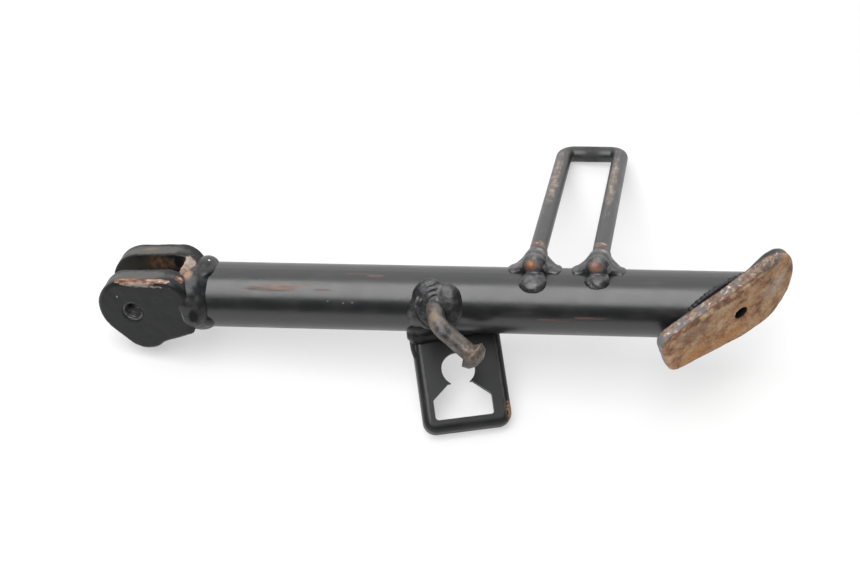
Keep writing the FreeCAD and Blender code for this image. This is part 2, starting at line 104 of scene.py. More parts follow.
def frame_from(x_axis, y_axis, z_axis, origin):
    """A placement from its three axes and its origin."""
    axes = Matrix((x_axis, y_axis, z_axis)).transposed().to_4x4()
    return Matrix.Translation(origin) @ axes


def turn(degrees, axis):
    """A rotation about one of the local axes."""
    return Matrix.Rotation(math.radians(degrees), 4, axis)


def shift(x, y, z):
    """A move by local millimetres."""
    return Matrix.Translation(Vector((x, y, z)) * MM)


def leg_frame():
    """The leg's frame: X down the leg, Z off its top, the pivot axis in its XY plane."""
    mesh = frame["nodes"]["leg_tube"].data
    square = 0.95
    ends = [face for face in mesh.polygons if face.normal.dot(X_AXIS) < -square]
    along = Vector()
    middle = Vector()
    for face in ends:
        along -= face.normal * face.area
        middle += face.center * face.area
    along.normalize()
    middle /= sum(face.area for face in ends)
    bore = next(mount for mount in frame["record"]["mounts"] if mount["name"] == "pivot_bore")
    pivot, axis = Vector(bore["pos_m"]), Vector(bore["axis"])
    up = along.cross(axis).normalized()
    origin = intersect_line_line(pivot, pivot + axis, middle, middle + along)[1]
    return frame_from(along, up.cross(along), up, origin)


LEG = leg_frame()
FORK = LEG @ turn(-PIVOT_YAW, "Z")
LOOP = (
    LEG @ shift(LOOP_POSITION, 0, 0) @ turn(-LOOP_YAW, "Z") @ turn(-LOOP_DROOP, "X")
    @ shift(0, 0, TUBE_RADIUS + LOOP_BAR / 2)
)
BRACKET = (
    LEG @ shift(BRACKET_POSITION, 0, 0) @ turn(BRACKET_YAW, "Z") @ turn(BRACKET_DROOP, "Y")
    @ turn(BRACKET_LEAN, "X") @ shift(0, -BRACKET_DROP, -BRACKET_SETBACK)
)


def foot_frame():
    """The foot's frame: X to the toe, Z out of the sole."""
    facing = SOLE_FACING.normalized()
    toe = (TOE_DIRECTION - facing * TOE_DIRECTION.dot(facing)).normalized()
    local = frame_from(toe, facing.cross(toe), facing, Vector((FOOT_DISTANCE, 0, 0)) * MM)
    return LEG @ local


FOOT = foot_frame()


def on_leg(position, degrees, rise=0.0):
    """A point on the leg, by the angle from its top towards the hook's side, in leg millimetres."""
    angle = math.radians(degrees)
    reach = TUBE_RADIUS + rise
    return Vector((position, -reach * math.sin(angle), reach * math.cos(angle)))


def off_leg(degrees):
    """The direction straight off the leg at an angle."""
    return on_leg(0, degrees, 1 - TUBE_RADIUS)


# ---- Shader maths ----

class Value:
    """A node's output; Python arithmetic on it adds Math nodes."""

    def __init__(self, nodes, socket):
        self.nodes = nodes
        self.socket = socket

    def maths(self, operation, first, second):
        """One Math node."""
        return self.nodes.add("ShaderNodeMath", {"operation": operation}, {0: first, 1: second})

    def __add__(self, other):
        return self.maths("ADD", self, other)

    def __sub__(self, other):
        return self.maths("SUBTRACT", self, other)

    def __rsub__(self, other):
        return self.maths("SUBTRACT", other, self)

    def __mul__(self, other):
        return self.maths("MULTIPLY", self, other)

    __radd__ = __add__
    __rmul__ = __mul__

    def over(self, other):
        """The larger of the two."""
        return self.maths("MAXIMUM", self, other)


class Nodes:
    """Adds nodes to one node tree."""

    def __init__(self, tree):
        self.tree = tree
        tree.nodes.clear()

    def add(self, kind, settings=None, inputs=None, output=0):
        """A node of a kind, with its settings first and then its sockets' values or links."""
        node = self.tree.nodes.new(kind)
        for name, setting in (settings or {}).items():
            if name == "stops":
                ramp = node.color_ramp.elements
                for element, (place, colour) in zip(ramp, setting):
                    element.position = place
                    element.color = (*colour, 1)
                for place, colour in setting[len(ramp):]:
                    ramp.new(place).color = (*colour, 1)
            else:
                setattr(node, name, setting)
        for name, value in (inputs or {}).items():
            if isinstance(value, Value):
                self.tree.links.new(value.socket, node.inputs[name])
            else:
                node.inputs[name].default_value = value
        return Value(self, node.outputs[output]) if len(node.outputs) else None

    def vector(self, operation, first, second):
        """Vector maths."""
        return self.add("ShaderNodeVectorMath", {"operation": operation}, {0: first, 1: second})

    def distance(self, first, second):
        """How far one point is from another."""
        return self.add("ShaderNodeVectorMath", {"operation": "DISTANCE"},
                        {0: first, 1: second}, output="Value")

    def mix(self, factor, first, second):
        """One colour shading into another; a Mix node's colours are its sockets 6 and 7."""
        return self.add(
            "ShaderNodeMix", {"data_type": "RGBA"}, {0: factor, 6: first, 7: second}, output=2)

    def blend(self, factor, first, second):
        """One number shading into another."""
        return self.add("ShaderNodeMix", {"data_type": "FLOAT"}, {0: factor, 2: first, 3: second})

    def fade(self, value, low, high):
        """0 below low, 1 above high, and smooth between."""
        return self.add(
            "ShaderNodeMapRange", {"interpolation_type": "SMOOTHSTEP"},
            {"Value": value, "From Min": low, "From Max": high})

    def ramp(self, value, *stops):
        """Colours along a value; each stop is a place from 0 to 1 and a colour."""
        return self.add("ShaderNodeValToRGB", {"stops": stops}, {0: value})


class Finish(Nodes):
    """A surface built up in layers, with its patterns in millimetres of a local frame."""

    def __init__(self, name, placement, colour, roughness, metallic=0.0):
        material = bpy.data.materials.new(name)
        material.use_nodes = True
        super().__init__(material.node_tree)
        self.material = material
        self.paint = bpy.context.scene.side_stand_paint
        self.rust = bpy.context.scene.side_stand_rust
        where = self.add("ShaderNodeTexCoord", output="Object")
        self.place = self.add("ShaderNodeMapping", {"vector_type": "TEXTURE"}, {
            "Vector": where,
            "Location": placement.to_translation(),
            "Rotation": placement.to_euler(),
            "Scale": (MM, MM, MM),
        })
        self.colour = (*colour, 1)
        self.roughness = roughness
        self.metallic = metallic
        self.height = None

    def noise(self, size, detail=3.0, roughness=0.55, stretch=(1, 1, 1), seed=0.0):
        """Soft noise from 0 to 1, whose blotches are about a size across."""
        scale = tuple(1 / (size * share) for share in stretch)
        place = self.vector("MULTIPLY", self.place, scale)
        place = self.vector("ADD", place, (seed, seed * 1.7, seed * 2.3))
        return self.add(
            "ShaderNodeTexNoise", None,
            {"Vector": place, "Scale": 1.0, "Detail": detail, "Roughness": roughness})

    def spot(self, centre, radii):
        """1 in the middle of an ellipsoid, 0 at its surface and below 0 outside."""
        offset = self.vector("SUBTRACT", self.place, tuple(centre))
        offset = self.vector("DIVIDE", offset, tuple(radii))
        return 1 - self.distance(offset, (0, 0, 0))

    def patch(self, centre, radii, ragged=1.0, grain=1.2, soft=0.12, seed=0.0, stretch=(1, 1, 1)):
        """A spot with a ragged edge, as a mask."""
        tear = self.noise(grain, detail=5.0, roughness=0.65, seed=seed, stretch=stretch)
        edge = 0.15
        return self.fade(self.spot(centre, radii) + (tear - 0.5) * ragged, edge, edge + soft)

    def axis(self, letter):
        """One coordinate of the local frame, in millimetres."""
        return self.add("ShaderNodeSeparateXYZ", None, {0: self.place}, output=letter)

    def layer(self, mask, colour=None, roughness=None, metallic=None, height=0.0):
        """Lays a colour and finish over the mask; height is in millimetres."""
        if colour is not None:
            coat = colour if isinstance(colour, Value) else (*colour, 1)
            self.colour = self.mix(mask, self.colour, coat)
        if roughness is not None:
            self.roughness = self.blend(mask, self.roughness, roughness)
        if metallic is not None:
            self.metallic = self.blend(mask, self.metallic, metallic)
        if height:
            self.raise_by(mask * height)

    def raise_by(self, height):
        """Adds to the surface's relief, in millimetres."""
        self.height = height if self.height is None else self.height + height

    def done(self, specular=0.5):
        """Closes the material."""
        inputs = {
            "Base Color": self.colour,
            "Roughness": self.roughness,
            "Metallic": self.metallic,
            "Specular IOR Level": specular,
        }
        if self.height is not None:
            inputs["Normal"] = self.add(
                "ShaderNodeBump", None, {"Height": self.height, "Distance": MM, "Strength": 1.0})
        surface = self.add("ShaderNodeBsdfPrincipled", None, inputs)
        self.add("ShaderNodeOutputMaterial", None, {"Surface": surface})
        return self.material


# ---- What a user would change ----

class PaintSettings(bpy.types.PropertyGroup):
    """The black paint and the dust on it"""
    colour: bpy.props.FloatVectorProperty(
        name="Paint", description="Colour of the black paint", subtype="COLOR",
        default=(0.012, 0.0125, 0.0135), min=0, max=1)
    roughness: bpy.props.FloatProperty(
        name="Roughness", description="Roughness of the sound paint", default=0.27, min=0, max=1)
    dust: bpy.props.FloatVectorProperty(
        name="Dust", description="Colour of dust and scuffs", subtype="COLOR",
        default=(0.13, 0.125, 0.115), min=0, max=1)


class RustSettings(bpy.types.PropertyGroup):
    """The colours of rust and bare steel"""
    dark: bpy.props.FloatVectorProperty(
        name="Dark rust", description="Colour of old rust", subtype="COLOR",
        default=(0.085, 0.040, 0.026), min=0, max=1)
    brown: bpy.props.FloatVectorProperty(
        name="Brown rust", description="Colour of most of the rust", subtype="COLOR",
        default=(0.235, 0.130, 0.078), min=0, max=1)
    orange: bpy.props.FloatVectorProperty(
        name="Orange rust", description="Colour of fresh rust", subtype="COLOR",
        default=(0.46, 0.21, 0.075), min=0, max=1)
    steel: bpy.props.FloatVectorProperty(
        name="Bare steel", description="Colour of rubbed bare steel", subtype="COLOR",
        default=(0.36, 0.285, 0.235), min=0, max=1)


class WeldSettings(bpy.types.PropertyGroup):
    """The weld beads"""
    grain: bpy.props.FloatProperty(
        name="Grain", description="Size of the mesh's grain on the weld beads, in millimetres",
        default=0.24, min=0.1, max=1)
    ripple: bpy.props.FloatProperty(
        name="Ripple", description="How steeply each puddle of a bead leans on the one before",
        default=0.22, min=0, max=1)


class StageSettings(bpy.types.PropertyGroup):
    """The camera and the light"""
    azimuth: bpy.props.FloatProperty(
        name="Azimuth", description="The camera's angle round the stand", subtype="ANGLE",
        default=math.radians(6.76))
    elevation: bpy.props.FloatProperty(
        name="Elevation", description="The camera's angle above the floor", subtype="ANGLE",
        default=math.radians(50.25))
    distance: bpy.props.FloatProperty(
        name="Distance", description="From the camera to the point it aims at",
        subtype="DISTANCE", default=0.7063)
    aim: bpy.props.FloatVectorProperty(
        name="Aim", description="The point that the camera aims at", subtype="TRANSLATION",
        default=(0.1111, -0.0014, 0.0122))
    lens: bpy.props.FloatProperty(
        name="Lens", description="Focal length in millimetres", default=76.5)
    lamp: bpy.props.FloatProperty(
        name="Softbox", description="Power of the softbox overhead", subtype="POWER", default=24.0)


# ---- Modelling ----

def deselect():
    """Nothing selected, in object mode."""
    bpy.ops.object.select_all(action="DESELECT")


def activate(piece):
    """One object selected and active."""
    deselect()
    piece.select_set(True)
    bpy.context.view_layer.objects.active = piece


def edit(piece):
    """All of one object selected, in edit mode."""
    activate(piece)
    bpy.ops.object.mode_set(mode="EDIT")
    bpy.ops.mesh.select_all(action="SELECT")


def apply_modifier(piece, kind, **settings):
    """Adds a modifier and applies it."""
    activate(piece)
    bpy.ops.object.modifier_add(type=kind)
    modifier = piece.modifiers[-1]
    for name, value in settings.items():
        setattr(modifier, name, value)
    bpy.ops.object.modifier_apply(modifier=modifier.name)


def clouds(name, size):
    """A soft noise for a Displace modifier, with blotches of a size in millimetres."""
    texture = bpy.data.textures.new(name, "CLOUDS")
    texture.noise_scale = size * MM
    texture.noise_depth = 2
    return texture


def add_puddle(placement, centre, direction, radii, along=X_AXIS):
    """A flattened ball of weld metal; its radii are along, across and off the surface."""
    off = direction.normalized()
    across = off.cross(along).normalized()
    local = frame_from(across.cross(off), across, off, centre * MM)
    place = placement @ local
    bpy.ops.mesh.primitive_uv_sphere_add(
        segments=24, ring_count=14, radius=1, location=place.to_translation(),
        rotation=place.to_euler(), scale=tuple(radius * MM for radius in radii))
    return bpy.context.object


def leg_puddle(position, degrees, radii, rise=0.0):
    """A puddle lying on the leg, at a position and an angle."""
    return add_puddle(LEG, on_leg(position, degrees, rise), off_leg(degrees), radii)


def regrain(piece, grain, ease):
    """Gives a piece an even grain of faces, in millimetres, and eases its corners."""
    apply_modifier(piece, "REMESH", mode="VOXEL", voxel_size=grain * MM)
    apply_modifier(piece, "SMOOTH", factor=0.5, iterations=ease)


def roughen(piece, size, strength):
    """Presses a soft noise into a piece; both are in millimetres."""
    apply_modifier(
        piece, "DISPLACE", texture=clouds(piece.name + "_clouds", size),
        texture_coords="LOCAL", strength=strength * MM, mid_level=0.5)


def lay_bead(name, puddles, ease, size, strength):
    """Runs puddles together into one rough skin of weld metal, at the frame's origin."""
    deselect()
    for puddle in puddles:
        puddle.select_set(True)
    bpy.context.view_layer.objects.active = puddles[0]
    bpy.ops.object.join()
    bead = bpy.context.object
    bead.name = name
    bpy.ops.object.transform_apply(location=True, rotation=True, scale=True)
    regrain(bead, bpy.context.scene.side_stand_weld.grain, ease)
    roughen(bead, size, strength)
    return bead


def dress(piece, material, slot, *nodes):
    """Finishes a new piece: its material and the CAD nodes that it stands for; the slot argument is
    not used.
    """
    piece.data.materials.clear()
    piece.data.materials.append(material)
    activate(piece)
    bpy.ops.object.shade_smooth()
    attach(piece, "root")
    if nodes:
        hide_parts(*nodes)


def paint_node(name, material):
    """Gives a CAD node its finish."""
    node = frame["nodes"][name]
    for place in node.material_slots:
        place.material = material
    if not node.material_slots:
        node.data.materials.append(material)


def copy_node(name, new_name):
    """A copy of a CAD node's mesh with its doubled vertices merged, to be worked on."""
    same_place = 0.001 * MM
    source = frame["nodes"][name]
    copy = bpy.data.objects.new(new_name, source.data.copy())
    bpy.context.scene.collection.objects.link(copy)
    edit(copy)
    bpy.ops.mesh.remove_doubles(threshold=same_place)
    bpy.ops.object.mode_set(mode="OBJECT")
    return copy


def worked_copy(name, new_name, grain, ease):
    """A copy of a CAD node with an even grain and eased corners."""
    copy = copy_node(name, new_name)
    regrain(copy, grain, ease)
    return copy


# ---- Finishes ----

# Near-black laid where shade falls: painted shade in hollows.
PAINTED_SHADE_BLACK = (0.002, 0.002, 0.002)


def black_paint(name, placement, dull=0.0, dusty=0.08):
    """Semi-gloss black paint, a little uneven and dusty; dull adds to its roughness."""
    paint = bpy.context.scene.side_stand_paint
    smoothest = paint.roughness + dull
    finish = Finish(name, placement, paint.colour, smoothest)
    cloud = finish.noise(9.0, detail=4.0)
    finish.layer(finish.fade(cloud, 0.45, 0.85) * dusty, paint.dust)
    finish.roughness = finish.fade(cloud, 0.25, 0.8) * 0.10 + smoothest
    specks = finish.noise(0.55, detail=2.0, roughness=0.5, seed=3.1)
    finish.layer(finish.fade(specks, 0.75, 0.80) * 0.6, paint.dust, roughness=0.6)
    finish.raise_by(finish.noise(1.8, detail=3.0, seed=5.0) * 0.016)
    finish.raise_by(finish.noise(0.5, detail=2.0, seed=7.7) * 0.005)
    return finish


def rust_colour(finish):
    """Rust that runs from dark brown to orange."""
    blotch = finish.noise(1.6, detail=6.0, roughness=0.62, seed=11.0)
    rust = finish.rust
    return finish.ramp(blotch, (0.30, rust.dark), (0.47, rust.brown), (0.66, rust.orange))


def steel_colour(finish, size):
    """Rubbed steel with a pinkish brown stain in it."""
    blotch = finish.noise(size, detail=5.0, roughness=0.6, seed=17.0)
    rust = finish.rust
    return finish.ramp(
        blotch, (0.33, rust.brown), (0.47, rust.steel), (0.75, (0.46, 0.39, 0.34)))


def worn_colour(finish, size=1.5):
    """The colours of a worn edge: red-brown rust with chips of bare steel."""
    blotch = finish.noise(size, detail=5.0, roughness=0.62, stretch=(2.2, 1, 1), seed=27.0)
    return finish.ramp(
        blotch, (0.34, finish.rust.dark), (0.50, (0.22, 0.105, 0.068)),
        (0.60, (0.36, 0.255, 0.195)), (0.70, (0.62, 0.50, 0.42)))


def tube_finish():
    """The leg's paint, with its long rusty rub and smaller scuffs."""
    finish = black_paint("leg_paint", LEG)
    rust = finish.ramp(
        finish.noise(1.1, detail=5.0, roughness=0.6, stretch=(9, 1, 1), seed=13.0),
        (0.38, (0.03, 0.019, 0.016)), (0.54, (0.125, 0.050, 0.036)), (0.72, (0.24, 0.135, 0.105)))
    # Rubs: where along the leg, the angle round it, length, width, raggedness, strength, seed.
    for position, degrees, length, width, ragged, strength, seed in (
        (55, 40, 15, 1.7, 1.1, 0.95, 1.0),
        (60, 34, 13, 1.0, 1.5, 0.8, 2.0),
        (74, 41, 6, 0.7, 1.6, 0.7, 2.5),
        (88, 8, 7, 0.8, 1.7, 0.45, 3.0),
        (95, 12, 5, 0.8, 1.8, 0.4, 3.5),
        (164, 86, 9, 0.8, 1.6, 0.8, 4.0),
        (176, 81, 8, 1.0, 1.6, 0.8, 5.0),
    ):
        rub = finish.patch(on_leg(position, degrees), (length, width, width), ragged=ragged,
                           grain=1.0, soft=0.3, seed=seed, stretch=(8, 1, 1))
        finish.layer(rub * strength, rust, roughness=0.6, height=-0.02)
    halo = finish.patch(on_leg(60, 36), (30, 3.6, 3.2), ragged=1.3, grain=0.8, soft=0.7,
                        seed=2.0, stretch=(12, 1, 1))
    finish.layer(halo * 0.35, finish.paint.dust, roughness=0.5)
    for position, degrees in ((76.5, 60), (82.5, 63), (86, 62), (112, 36)):
        speck = finish.patch(on_leg(position, degrees), (0.45, 0.4, 0.4), ragged=0.4, soft=0.3)
        finish.layer(speck, (0.16, 0.16, 0.16), roughness=0.5)
    grime = finish.noise(4.0, detail=5.0, stretch=(7, 1, 1), seed=9.0)
    finish.layer(finish.fade(grime, 0.55, 0.78) * 0.18, finish.paint.dust, roughness=0.45)
    return finish.done(specular=0.75)


def rust_the_slot(finish):
    """Dull rust down the walls of the fork's slot, darkened further as painted shade where the far
    wall lies in shade.
    """
    slot = finish.patch((8, 4.6, 11), (11, 2.4, 7), ragged=1.0, grain=2.2, soft=0.6, seed=3.0)
    shaded_rust = finish.ramp(
        finish.noise(3.0, detail=6.0, roughness=0.6, seed=15.0),
        (0.36, (0.020, 0.015, 0.010)), (0.52, (0.075, 0.043, 0.024)), (0.68, (0.19, 0.090, 0.035)))
    finish.layer(slot * 0.9, shaded_rust, roughness=0.85)
    # Painted shade: the slot's far inner wall darkened where shade falls on it.
    grime = finish.patch((-4, 4.6, 8), (14, 2.4, 9), ragged=1.0, grain=1.8, soft=0.6, seed=3.5)
    finish.layer(grime * 0.6, (0.030, 0.027, 0.018), roughness=0.85)


def bare_the_crown(finish):
    """Rusty bare steel over the slot's closed end, and painted shade: a black patch in the shadowed
    hollow in front of it.
    """
    crown = finish.patch((20.6, 0.6, 14.2), (6.8, 7.8, 5.4), ragged=1.2, grain=2.4, soft=0.3,
                         seed=2.0)
    finish.layer(crown * 0.95, steel_colour(finish, size=2.6), roughness=0.6, height=-0.04)
    tint = finish.patch((22.6, 0.5, 14.2), (2.2, 4.6, 3.0), ragged=1.2, grain=1.6, soft=0.5,
                        seed=2.8)
    finish.layer(tint * 0.7, (0.30, 0.135, 0.055), roughness=0.7)
    pits = finish.noise(1.0, detail=4.0, seed=2.5)
    finish.layer(crown * finish.fade(pits, 0.58, 0.63) * 0.8, finish.rust.dark, roughness=0.8)
    # Painted shade: black laid in the shadowed wedge at the slot's end.
    shade_mask = finish.patch((14.6, 4.4, 12.5), (2.0, 2.6, 4.0), ragged=0.5, grain=1.5, soft=0.3)
    finish.layer(shade_mask, PAINTED_SHADE_BLACK, roughness=0.95)


def fork_finish():
    """The fork's paint, rubbed to steel on its edges and rusty in its slot."""
    finish = black_paint("fork_paint", FORK, dull=0.08, dusty=0.04)
    for centre in ((3, -8.0, 14.5), (3, 8.4, 14.8)):
        top = finish.patch(centre, (22, 3.7, 4.6), ragged=0.5, grain=3.0, soft=0.3)
        finish.layer(top * 0.5, finish.paint.dust, roughness=0.42)
    rust_the_slot(finish)
    bare_the_crown(finish)
    # Worn edges: centre, radii, seed.
    for centre, radii, seed in (
        ((-2.0, -11.2, 14.3), (10.5, 1.6, 2.0), 1.0),
        ((8.0, -11.5, 15.4), (12.5, 1.2, 1.5), 1.5),
        ((20.5, -7.6, 14.2), (3.2, 1.8, 2.0), 1.8),
    ):
        edge = finish.patch(centre, radii, ragged=1.3, grain=1.3, seed=seed, stretch=(2.5, 1, 1))
        finish.layer(edge, worn_colour(finish), roughness=0.55, height=-0.05)
    rubbed = finish.patch((2, -12.3, 13.6), (15, 0.7, 1.3), ragged=2.2, grain=0.9, soft=0.2,
                          seed=1.2, stretch=(3, 1, 1))
    finish.layer(rubbed * 0.7, steel_colour(finish, size=1.2), roughness=0.4, metallic=0.2)
    far = finish.patch((1.5, 9.2, 14.9), (6, 1.8, 1.6), ragged=1.4, grain=0.9, soft=0.6, seed=4.0)
    finish.layer(far * 0.5, (0.22, 0.15, 0.105), roughness=0.7)
    nick = finish.patch((-5.2, -12.5, 6.8), (0.22, 0.8, 0.7), ragged=0.2, soft=0.3)
    finish.layer(nick, (0.5, 0.5, 0.5), roughness=0.4)
    return finish.done(specular=0.27)


def loop_finish():
    """The loop's paint, worn brown along the tops of its legs and rusty at their roots."""
    finish = black_paint("loop_paint", LOOP, dull=0.1, dusty=0.25)
    wear = finish.ramp(
        finish.noise(2.4, detail=5.0, roughness=0.6, seed=17.0),
        (0.36, (0.16, 0.10, 0.075)), (0.52, (0.28, 0.21, 0.17)), (0.72, (0.44, 0.38, 0.34)))
    half = LOOP_SPACING / 2
    for side, middle, length in ((-1, 79, 50), (1, 76, 52)):
        leg = finish.patch((side * half - 0.4, middle, 2.4), (2.6, length, 2.8), ragged=1.6,
                           grain=1.8, soft=0.6, seed=side + 6.0, stretch=(1, 4, 1))
        finish.layer(leg * 0.75, wear, roughness=0.55)
        corner = finish.patch((side * half, LOOP_REACH - 5, 0.6), (4.0, 6, 3.5), ragged=1.2,
                              grain=1.4, soft=0.6, seed=side + 9.0)
        finish.layer(corner * 0.75, wear, roughness=0.6)
        root = finish.patch((side * half, 10.6, 1.8), (5.0, 3.4, 3.2), ragged=1.8, grain=1.1,
                            soft=0.5, seed=side + 12.0)
        finish.layer(root, worn_colour(finish, size=1.1), roughness=0.75)
    bar = finish.patch((0, LOOP_REACH, 0), (half - 1.5, 5, 5), ragged=0.3, grain=2.0, soft=0.3)
    finish.layer(bar * 0.95, (0.012, 0.014, 0.012), roughness=0.85)
    return finish.done(specular=0.7)


def bracket_finish():
    """The bracket's paint, with a rusty corner and painted highlights along the panel's side edges.
    """
    finish = black_paint("bracket_paint", BRACKET, dull=0.12)
    corner = finish.patch((BRACKET_WIDTH - 0.4, 5.0, BRACKET_DEPTH - 3), (2.4, 6.0, 4.4),
                          ragged=1.3, grain=1.1, seed=1.0)
    finish.layer(corner * 0.9, rust_colour(finish), roughness=0.7)
    # Painted highlights: pale lines in the dust colour along the panel's inner side edges.
    for across, seed in ((2.4, 2.0), (BRACKET_WIDTH - 2.4, 3.0)):
        edge = finish.patch((across, 20, BRACKET_DEPTH - 0.4), (0.6, 24, 1.2), ragged=1.6,
                            grain=0.7, seed=seed, stretch=(1, 4, 1))
        finish.layer(edge * 0.35, finish.paint.dust, roughness=0.6)
    return finish.done(specular=0.3)


def hook_finish():
    """Bare worn steel, stained brown, with brighter specks and a rusty head."""
    finish = Finish("hook_steel", LEG, (0.105, 0.092, 0.082), 0.42, 0.25)
    stain = finish.noise(3.4, detail=5.0, roughness=0.6, seed=1.0)
    finish.layer(finish.fade(stain, 0.42, 0.66), (0.165, 0.145, 0.125), roughness=0.45)
    black = finish.noise(4.0, detail=6.0, roughness=0.6, seed=4.0)
    finish.layer(finish.fade(black, 0.46, 0.62) * 0.8, finish.paint.colour, roughness=0.36,
                 metallic=0.0)
    head = finish.patch((133.6, -28, -2.4), (5.6, 6.5, 6.5), ragged=0.8, grain=1.8, soft=0.4,
                        seed=6.0)
    crown = finish.ramp(
        finish.noise(1.8, detail=5.0, roughness=0.6, seed=18.0),
        (0.38, (0.075, 0.050, 0.040)), (0.54, (0.17, 0.13, 0.11)), (0.72, (0.34, 0.28, 0.24)))
    finish.layer(head * 0.9, crown, roughness=0.4, metallic=0.35)
    base = finish.patch((118.6, -19.5, 6.8), (3.4, 3.4, 3.4), ragged=1.2, grain=1.4, soft=0.4,
                        seed=7.0)
    finish.layer(base * 0.7, (0.25, 0.18, 0.12), roughness=0.5)
    specks = finish.noise(0.8, detail=2.0, seed=9.0)
    finish.layer(finish.fade(specks, 0.72, 0.76), (0.75, 0.68, 0.58), roughness=0.3, metallic=0.6)
    finish.layer(finish.fade(specks, 0.30, 0.24) * 0.5, finish.rust.orange, roughness=0.7)
    finish.raise_by(finish.noise(1.1, detail=4.0, seed=12.0) * 0.05)
    return finish.done(specular=0.6)


def rust_the_sole(finish, blotch):
    """The rust of the plate's broad face; gives back its fine grain."""
    face = finish.ramp(
        blotch, (0.36, (0.15, 0.066, 0.036)), (0.45, (0.36, 0.165, 0.066)),
        (0.53, (0.46, 0.26, 0.115)), (0.64, (0.52, 0.38, 0.23)))
    finish.layer(1.0, face)
    stain = finish.patch((-24, 8, 0), (16, 9, 4), ragged=1.6, grain=3.5, soft=0.7, seed=1.5)
    finish.layer(stain * 0.6, (0.17, 0.075, 0.05), roughness=0.7)
    # Fresh rust: centre, radii, seed.
    for centre, radii, seed in (
        ((-27, -5, 0), (10, 7, 4), 2.0),
        ((-12, -9, 0), (11, 5, 4), 2.5),
        ((14, 9, 0), (9, 4, 4), 2.8),
    ):
        fresh = finish.patch(centre, radii, ragged=1.5, grain=3.0, soft=0.6, seed=seed)
        finish.layer(fresh * 0.7, (0.50, 0.215, 0.055), roughness=0.8)
    pale = finish.patch((14, 0, 0), (14, 11, 4), ragged=1.2, grain=4.0, soft=0.7, seed=4.0)
    finish.layer(pale * 0.6, (0.44, 0.385, 0.32), roughness=0.5, metallic=0.15)
    fine = finish.noise(1.1, detail=6.0, roughness=0.7, seed=3.0)
    finish.layer(finish.fade(fine, 0.52, 0.66) * 0.5, finish.rust.dark)
    finish.layer(finish.fade(fine, 0.46, 0.32) * 0.4, (0.62, 0.46, 0.31))
    return fine


def chip_the_edge(finish, band):
    """Old rust, patches of paint and bright chips over a band; gives back their relief."""
    rough = finish.noise(1.5, detail=5.0, roughness=0.62, stretch=(1.4, 1, 1), seed=5.0)
    old = finish.ramp(
        finish.noise(2.2, detail=6.0, roughness=0.62, seed=23.0),
        (0.34, (0.060, 0.034, 0.026)), (0.50, (0.165, 0.105, 0.076)), (0.68, (0.31, 0.235, 0.185)))
    finish.layer(band * 0.95, old, roughness=0.6)
    paint_left = finish.noise(5.0, detail=4.0, seed=6.0)
    finish.layer(band * finish.fade(paint_left, 0.52, 0.60) * 0.8, (0.115, 0.12, 0.125),
                 roughness=0.4)
    finish.layer(band * finish.fade(rough, 0.53, 0.60) * 0.7, (0.40, 0.32, 0.26),
                 roughness=0.45, metallic=0.2)
    finish.layer(band * finish.fade(rough, 0.64, 0.69), (0.74, 0.66, 0.58),
                 roughness=0.35, metallic=0.3)
    return rough


def foot_finish():
    """A rusted plate, rubbed paler towards its toe, with bright chips on its upper edge and
    near-black painted shade in its drain hole.
    """
    rust = bpy.context.scene.side_stand_rust
    finish = Finish("foot_rust", FOOT, rust.brown, 0.7)
    along, up, deep = (finish.axis(letter) for letter in "XYZ")
    blotch = finish.noise(6.0, detail=7.0, roughness=0.68, seed=1.0)
    fine = rust_the_sole(finish, blotch)
    ragged = finish.noise(2.6, detail=4.0, seed=8.0)
    brim = finish.fade(up + ragged * 5.0, 12.4, 14.6) * finish.fade(deep, -2.6, -0.9)
    finish.layer(brim * finish.fade(blotch, 0.60, 0.42) * 0.85, (0.125, 0.054, 0.038),
                 roughness=0.65)
    band = finish.fade(deep + ragged * 1.2, 0.2, -0.8) * finish.fade(up, 9.0, 12.0)
    rough = chip_the_edge(finish, band)
    heel = finish.fade(along, -34.5, -37.0) * finish.fade(deep, -0.8, -2.2)
    finish.layer(heel * 0.85, (0.17, 0.18, 0.18), roughness=0.45)
    flaked = finish.noise(7.0, detail=6.0, roughness=0.6, seed=9.0)
    painted = finish.fade(deep, -4.6, -5.6) * finish.fade(along, 30, 22)
    finish.layer(painted * finish.fade(flaked, 0.62, 0.57), finish.paint.colour, roughness=0.4)
    flat = finish.vector("MULTIPLY", finish.place, (1, 1, 0))
    # Painted shade: near black down the drain hole, where the hollow tube lies in shade.
    drain_shade = finish.fade(finish.distance(flat, (DRAIN_HOLE_OFFSET, 0, 0)), 3.1, 2.7)
    finish.layer(drain_shade * finish.fade(deep, 0.1, -0.5), (0.006, 0.005, 0.005), roughness=0.9)
    finish.raise_by(fine * 0.10 + rough * band * 0.5)
    return finish.done()


def thread_finish():
    """Dark oily steel in the thread."""
    finish = Finish("thread_steel", FORK, (0.05, 0.05, 0.052), 0.4, 0.3)
    shine = finish.noise(1.0, detail=3.0)
    finish.layer(finish.fade(shine, 0.45, 0.7), (0.16, 0.155, 0.15), roughness=0.3)
    return finish.done()


